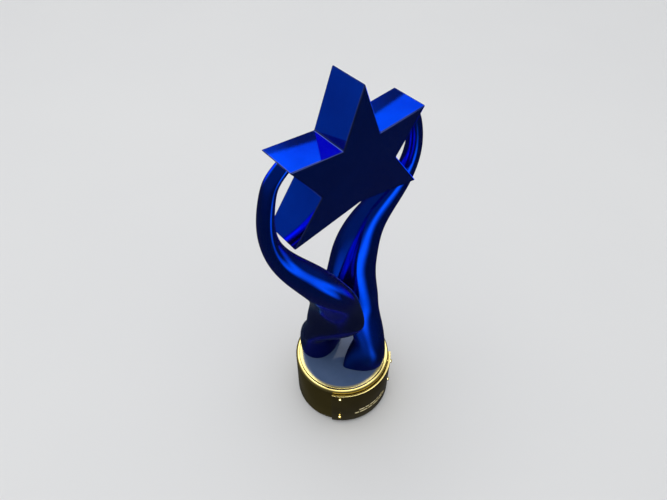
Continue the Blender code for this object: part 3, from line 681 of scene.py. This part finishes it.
def arm_mesh(name, turn):
    bm = bmesh.new()
    rings = [[bm.verts.new(point) for point in ring] for ring in arm_sections()]
    for lower, upper in zip(rings, rings[1:]):
        for i in range(ARM_RING_POINTS):
            j = (i + 1) % ARM_RING_POINTS
            bm.faces.new((lower[i], lower[j], upper[j], upper[i]))
    bm.faces.new(rings[0][::-1])
    bm.faces.new(rings[-1])
    bm.transform(turn)
    mesh = mesh_from_bmesh(name, bm)
    shade(mesh, angle_degrees=50.0)
    return mesh


def make_arms():
    # each arm gets its own heights of painted shade
    for side, turn, painted_shade_heights in (
            ("right", 0.0, RIGHT_PAINTED_SHADE_HEIGHTS), ("left", HALF_TURN, LEFT_PAINTED_SHADE_HEIGHTS)):
        mesh = arm_mesh(f"swept_arm_{side}", Matrix.Rotation(turn, 4, "Z"))
        material = blue_metal(f"blue_arm_metal_{side}", BLUE_ARM, painted_shade_heights)
        arm = new_piece(f"swept_arm_{side}", mesh, material, "blue_mirror", f"{side}_arm")
        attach(arm, "root")


# ---------------------------------------------------------------- star
def star_outline():
    """Corners of the star as (x, z), clockwise from its top as seen from the front."""
    right = [STAR_TOP, STAR_UPPER_NOTCH, STAR_SIDE_TIP, STAR_SIDE_NOTCH, STAR_LEG_TIP,
             STAR_BOTTOM_NOTCH]
    left = [(-x, z) for x, z in reversed(right[1:-1])]
    return right + left


def make_star():
    bm = bmesh.new()
    front = [bm.verts.new((x, -STAR_HALF_THICKNESS, z)) for x, z in star_outline()]
    back = [bm.verts.new((x, STAR_HALF_THICKNESS, z)) for x, z in star_outline()]
    bm.faces.new(front[::-1])
    bm.faces.new(back)
    for i in range(len(front)):
        j = (i + 1) % len(front)
        bm.faces.new((front[i], front[j], back[j], back[i]))
    bmesh.ops.recalc_face_normals(bm, faces=bm.faces)
    mesh = mesh_from_bmesh("star_body", bm)
    faces = blue_metal("blue_star_metal", BLUE_STAR)
    star = new_piece("star_body", mesh, faces, "blue_mirror", "star")
    mesh.materials.append(polished_metal("blue_edge_metal", BLUE_EDGE))
    mesh.shade_smooth()
    bevel = star.modifiers.new("rounded_edges", "BEVEL")
    bevel.material = len(mesh.materials) - 1
    bevel.width = STAR_EDGE_ROUND
    bevel.segments = 5
    bevel.limit_method = "ANGLE"
    bevel.angle_limit = STAR_EDGE_ANGLE
    bevel.harden_normals = True
    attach(star, "root")


# ---------------------------------------------------------------- base
def make_base_shell(material):
    seat_radius = DISC_RADIUS + GAP
    wall_radius = seat_radius - DISC_LEDGE_WIDTH
    recess_top = SHELL_LOW.z + PLATE_RECESS_HEIGHT
    profile = [(seat_radius, DISC_LOW.z), (seat_radius, SHELL_HIGH.z), (BASE_RADIUS, SHELL_HIGH.z)]
    profile += arc((BASE_RADIUS - EDGE_ROUND, SHELL_LOW.z + EDGE_ROUND), EDGE_ROUND, 0.0, -90.0, 5)
    profile += [(seat_radius, SHELL_LOW.z), (seat_radius, recess_top)]
    profile += [(wall_radius, recess_top), (wall_radius, DISC_LOW.z)]
    mesh = turned_mesh("round_base", profile, TURNED_STEPS, closed=True)
    base = new_piece("round_base", mesh, material, "dark_gold", "base_shell")
    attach(base, "root")


def make_rim(material):
    inner_radius = DISC_RADIUS + GAP
    inner_round = 0.5 * EDGE_ROUND
    inner_middle = (inner_radius + inner_round, BASE_TOP - inner_round)
    outer_middle = (BASE_RADIUS - RIM_OUTER_ROUND, BASE_TOP - RIM_OUTER_ROUND)
    profile = arc(inner_middle, inner_round, 180.0, 90.0, 7)
    profile += arc(outer_middle, RIM_OUTER_ROUND, 90.0, 0.0, 14)
    profile += [(BASE_RADIUS, RIM_LOW.z), (inner_radius, RIM_LOW.z)]
    mesh = turned_mesh("gold_rim", profile, TURNED_STEPS, closed=True)
    rim = new_piece("gold_rim", mesh, material, "bright_gold", "rim_ring")
    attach(rim, "root")


def make_disc(material):
    profile = [(0.0, DISC_HIGH.z)]
    radius = DISC_RADIUS + 0.5 * GAP
    edge_round = 0.5 * EDGE_ROUND
    profile += arc((radius - edge_round, DISC_HIGH.z - edge_round), edge_round, 90.0, 0.0, 5)
    profile += [(radius, DISC_LOW.z), (0.0, DISC_LOW.z)]
    mesh = turned_mesh("lacquered_top", profile, TURNED_STEPS)
    disc = new_piece("lacquered_top", mesh, material, "slate_lacquer", "top_disc")
    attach(disc, "root")


# ---------------------------------------------------------------- nameplate
def arc_block_mesh(name, inner_radius, outer_radius, low, high, start, end, steps):
    """Solid block bent round the Z axis; angles are measured from the front (-Y)."""
    bm = bmesh.new()
    rings = []
    for angle in np.linspace(start, end, steps + 1):
        corners = ((inner_radius, low), (outer_radius, low), (outer_radius, high), (inner_radius, high))
        rings.append([
            bm.verts.new((r * math.sin(angle), -r * math.cos(angle), z)) for r, z in corners])
    for near, far in zip(rings, rings[1:]):
        for i in range(4):
            j = (i + 1) % 4
            bm.faces.new((near[i], far[i], far[j], near[j]))
    bm.faces.new(rings[0])
    bm.faces.new(rings[-1][::-1])
    bmesh.ops.recalc_face_normals(bm, faces=bm.faces)
    return mesh_from_bmesh(name, bm)


def engraving_cutters():
    """Bent blocks, one for each engraved bar."""
    for row, (height, bars) in enumerate(ENGRAVING_ROWS):
        arcs = [math.radians(bar) for bar in bars]
        angle = -0.5 * (sum(arcs) + ENGRAVING_GAP * (len(arcs) - 1))
        for index, bar in enumerate(arcs):
            yield new_cutter(f"engraving_{row}_{index}", arc_block_mesh(
                f"engraving_{row}_{index}",
                NAMEPLATE_OUTER_RADIUS - ENGRAVING_DEPTH, NAMEPLATE_OUTER_RADIUS + ENGRAVING_DEPTH,
                height - 0.5 * ENGRAVING_BAR_HEIGHT, height + 0.5 * ENGRAVING_BAR_HEIGHT,
                angle, angle + bar, max(1, round(bar / ENGRAVING_STEP))))
            angle += bar + ENGRAVING_GAP


def make_nameplate(material):
    mesh = arc_block_mesh(
        "curved_nameplate", NAMEPLATE_INNER_RADIUS, NAMEPLATE_OUTER_RADIUS, PLATE_LOW.z, PLATE_HIGH.z,
        -0.5 * NAMEPLATE_ARC, 0.5 * NAMEPLATE_ARC, NAMEPLATE_STEPS)
    plate = new_piece("curved_nameplate", mesh, material, "dark_gold", "nameplate")
    bevel = plate.modifiers.new("rounded_edges", "BEVEL")
    bevel.width = EDGE_ROUND
    bevel.segments = 3
    bevel.limit_method = "ANGLE"
    bevel.angle_limit = NAMEPLATE_EDGE_ANGLE
    cut(plate, list(engraving_cutters()))
    shade(plate.data, angle_degrees=30.0)
    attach(plate, "root")


def nameplate_screw_places(radius):
    """Placements at the plate's four corners, with +Z pointing out of the base."""
    for height in NAMEPLATE_SCREW_HEIGHTS:
        for side in (-1.0, 1.0):
            angle = side * NAMEPLATE_SCREW_ANGLE
            outward = Vector((math.sin(angle), -math.cos(angle), 0.0))
            yield along(outward, outward * radius + Vector((0.0, 0.0, height)))


def slot_cutter(turn):
    """Bar through the top of an upright screw's dome, turned about the screw."""
    bm = bmesh.new()
    bmesh.ops.create_cube(bm, size=1.0)
    size = (3.0 * SCREW_HEAD_RADIUS, SCREW_SLOT_WIDTH, 2.0 * SCREW_SLOT_DEPTH)
    bm.transform(Matrix.Translation((0.0, 0.0, SCREW_HEAD_HEIGHT)) @ Matrix.Diagonal((*size, 1.0)))
    return new_cutter("screw_slot", mesh_from_bmesh("screw_slot", bm), Matrix.Rotation(turn, 4, "Z"))


def make_nameplate_screws(material):
    dome = [(SCREW_HEAD_RADIUS * math.sin(a), SCREW_HEAD_HEIGHT * math.cos(a))
            for a in np.linspace(0.0, 0.5 * HALF_TURN, SCREW_DOME_POINTS)]
    shank = [(SCREW_SHANK_RADIUS, 0.0), (SCREW_SHANK_RADIUS, -SCREW_LENGTH), (0.0, -SCREW_LENGTH)]
    for index, place in enumerate(nameplate_screw_places(NAMEPLATE_OUTER_RADIUS + GAP)):
        name = f"dome_screw_{index + 1}"
        mesh = turned_mesh(name, dome + shank, SCREW_STEPS)
        screw = new_piece(name, mesh, material, "bright_gold", f"nameplate_screw_{index + 1}")
        cut(screw, [slot_cutter(SCREW_SLOT_FIRST_TURN + SCREW_SLOT_TURN_STEP * index)])
        screw.data.transform(place)
        shade(screw.data)
        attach(screw, "root")


# ---------------------------------------------------------------- inner pieces of the frame
def finish_hidden_nodes():
    """Materials for the CAD nodes that stay as they are."""
    finishes = {
        "ballast_weight": cast_iron(),
        "base_plate": black_paint(),
        "felt_pad": felt(),
    }
    zinc = zinc_plate()
    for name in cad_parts:
        if name.startswith(("arm_bolt", "arm_washer", "base_screw", "star_pin")):
            finishes[name] = zinc
    for name, material in finishes.items():
        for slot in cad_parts[name].material_slots:
            slot.material = material


# ---------------------------------------------------------------- studio
def make_floor():
    bm = bmesh.new()
    bmesh.ops.create_grid(bm, x_segments=8, y_segments=8, size=FLOOR_HALF_SIDE)
    floor = bpy.data.objects.new("floor", mesh_from_bmesh("floor", bm))
    bpy.context.scene.collection.objects.link(floor)
    nodes = Nodes("pale_floor")
    tint = nodes.mix(nodes.noise(3.0), FLOOR_COLOUR, FLOOR_COLOUR_PALER)
    floor.data.materials.append(nodes.finish(tint, FLOOR_ROUGHNESS, 0.0))
    floor.visible_glossy = False


def facing(azimuth, elevation):
    """Unit vectors towards a direction in degrees, to its right and up from it."""
    turn = math.radians(azimuth)
    lift = math.radians(elevation)
    towards = Vector((math.sin(turn) * math.cos(lift), math.cos(turn) * math.cos(lift), math.sin(lift)))
    right = Vector((math.cos(turn), -math.sin(turn), 0.0))
    return towards, right, right.cross(towards)


def make_world():
    """Even pale light for matt surfaces, and a dim surround with soft patches for mirrors."""
    world = bpy.data.worlds.new("studio")
    bpy.context.scene.world = world
    world.use_nodes = True
    world.cycles.sampling_method = "NONE"
    graph = Graph(world.node_tree)
    direction = graph.add("ShaderNodeTexCoord").outputs["Generated"]
    height = graph.dot(direction, (0.0, 0.0, 1.0))
    light = graph.spread(height, *DIM_HEIGHTS, *DIM_RADIANCES, smooth=True)
    for azimuth, elevation, half_width, half_height, soft, radiance in SURROUND_PATCHES:
        towards, right, up = facing(azimuth, elevation)
        mask = graph.math("GREATER_THAN", graph.dot(direction, tuple(towards)), 0.0)
        for axis, half in ((right, half_width), (up, half_height)):
            distance = graph.math("ABSOLUTE", graph.dot(direction, tuple(axis)))
            near = math.sin(math.radians(half - soft))
            far = math.sin(math.radians(half + soft))
            fade = graph.spread(distance, near, far, 1.0, 0.0, smooth=True)
            mask = graph.math("MULTIPLY", mask, fade)
        light = graph.math("ADD", light, graph.math("MULTIPLY", mask, radiance))
    pale = graph.add("ShaderNodeBackground", Color=PALE_COLOUR, Strength=PALE_RADIANCE)
    dim = graph.add("ShaderNodeBackground", Color=DIM_COLOUR, Strength=light)
    path = graph.add("ShaderNodeLightPath")
    mix = graph.tree.nodes.new("ShaderNodeMixShader")
    graph.put(path.outputs["Is Glossy Ray"], mix.inputs["Fac"])
    graph.put(pale.outputs["Background"], mix.inputs[1])
    graph.put(dim.outputs["Background"], mix.inputs[2])
    graph.put(mix.outputs["Shader"], graph.tree.nodes["World Output"].inputs["Surface"])


def make_light(name, size, radiance, place):
    """Rectangular light shining along its -Z."""
    light = bpy.data.lights.new(name, "AREA")
    light.shape = "RECTANGLE"
    light.size, light.size_y = size
    light.energy = radiance * math.pi * size[0] * size[1]
    lamp = bpy.data.objects.new(name, light)
    bpy.context.scene.collection.objects.link(lamp)
    lamp.matrix_world = place
    lamp.visible_camera = False
    return lamp


def across_light(lamp):
    """Builder for a light's nodes, and how far a point lies from its middle: -0.5 to 0.5."""
    lamp.data.use_nodes = True
    graph = Graph(lamp.data.node_tree)
    place = graph.split(graph.add("ShaderNodeNewGeometry").outputs["Parametric"])
    return graph, [graph.math("SUBTRACT", place[axis], 0.5) for axis in ("X", "Y")]


def fade_edges(lamp, softness):
    """Fades a light over the outer share of its half size."""
    graph, offsets = across_light(lamp)
    start = 0.5 * (1.0 - softness)
    fades = [graph.spread(graph.math("ABSOLUTE", offset), start, 0.5, 1.0, 0.0, smooth=True)
             for offset in offsets]
    mask = graph.math("MULTIPLY", *fades)
    graph.put(mask, graph.tree.nodes["Emission"].inputs["Strength"])


def fade_round(lamp):
    """Fades a light from its middle to a circle that touches its sides."""
    graph, offsets = across_light(lamp)
    squares = [graph.math("MULTIPLY", offset, offset) for offset in offsets]
    distance = graph.math("SQRT", graph.math("ADD", *squares))
    mask = graph.spread(distance, 0.0, 0.5, 1.0, 0.0, smooth=True)
    graph.put(mask, graph.tree.nodes["Emission"].inputs["Strength"])


def make_linked_light(name, pieces, azimuth, elevation, width, height, radiance):
    """Light at the card distance that only its pieces mirror; angles and sizes in degrees."""
    towards, right, up = facing(azimuth, elevation)
    turn = Matrix((-right, up, towards)).transposed().to_4x4()
    size = [2.0 * CARD_DISTANCE * math.tan(math.radians(0.5 * angle)) for angle in (width, height)]
    centre = Vector((0.0, 0.0, CARD_AIM_HEIGHT)) + towards * CARD_DISTANCE
    lamp = make_light(name, size, radiance, Matrix.Translation(centre) @ turn)
    lamp.visible_diffuse = False
    lit = bpy.data.collections.new(f"lit_by_{name}")
    for piece in pieces:
        lit.objects.link(bpy.data.objects[piece])
    lamp.light_linking.receiver_collection = lit
    return lamp


def points_along(bends, count):
    """Evenly spaced points on a path of (azimuth, elevation) bends."""
    bends = np.array(bends, dtype=float)
    steps = np.diff(bends, axis=0)
    steps[:, 0] *= np.cos(np.radians(0.5 * (bends[1:, 1] + bends[:-1, 1])))
    reached = np.concatenate(([0.0], np.cumsum(np.hypot(steps[:, 0], steps[:, 1]))))
    wanted = np.linspace(0.0, reached[-1], count)
    return zip(np.interp(wanted, reached, bends[:, 0]), np.interp(wanted, reached, bends[:, 1]))


def make_lights():
    overhead_size = (OVERHEAD_SIDE, OVERHEAD_SIDE)
    overhead = make_light(
        "overhead", overhead_size, OVERHEAD_RADIANCE, Matrix.Translation(OVERHEAD_PLACE))
    overhead.visible_glossy = False
    for name, low, high, radiance in CEILING_CARDS:
        centre = (0.5 * (low[0] + high[0]), 0.5 * (low[1] + high[1]), CEILING_HEIGHT)
        size = (high[0] - low[0], high[1] - low[1])
        card = make_light(name, size, radiance, Matrix.Translation(centre))
        card.visible_diffuse = False
    for card in LINKED_CARDS:
        fade_edges(make_linked_light(*card), CARD_SOFTNESS)
    for name, pieces, bends, count, radius, radiance in LIGHT_BANDS:
        size = (2.0 * radius, 2.0 * radius)
        for index, place in enumerate(points_along(bends, count)):
            fade_round(make_linked_light(f"{name}_{index}", pieces, *place, *size, radiance))


def make_camera():
    data = bpy.data.cameras.new("camera")
    data.lens = CAMERA_LENS_MM
    data.sensor_width = CAMERA_SENSOR_MM
    data.clip_start = CAMERA_NEAR
    camera = bpy.data.objects.new("camera", data)
    bpy.context.scene.collection.objects.link(camera)
    camera.location = CAMERA_PLACE
    camera.rotation_euler = (CAMERA_PITCH, 0.0, CAMERA_HEADING)
    bpy.context.scene.camera = camera


# ---------------------------------------------------------------- assembly
def build():
    dark_gold = polished_metal("dark_gold_metal", DARK_GOLD)
    bright_gold = polished_metal("bright_gold_metal", BRIGHT_GOLD)
    make_arms()
    make_star()
    make_base_shell(dark_gold)
    make_rim(bright_gold)
    make_disc(lacquered_disc())
    make_nameplate(nameplate_metal())
    make_nameplate_screws(bright_gold)
    finish_hidden_nodes()
    make_floor()
    make_world()
    make_lights()
    make_camera()
    bpy.context.scene.view_settings.view_transform = "Standard"


build()
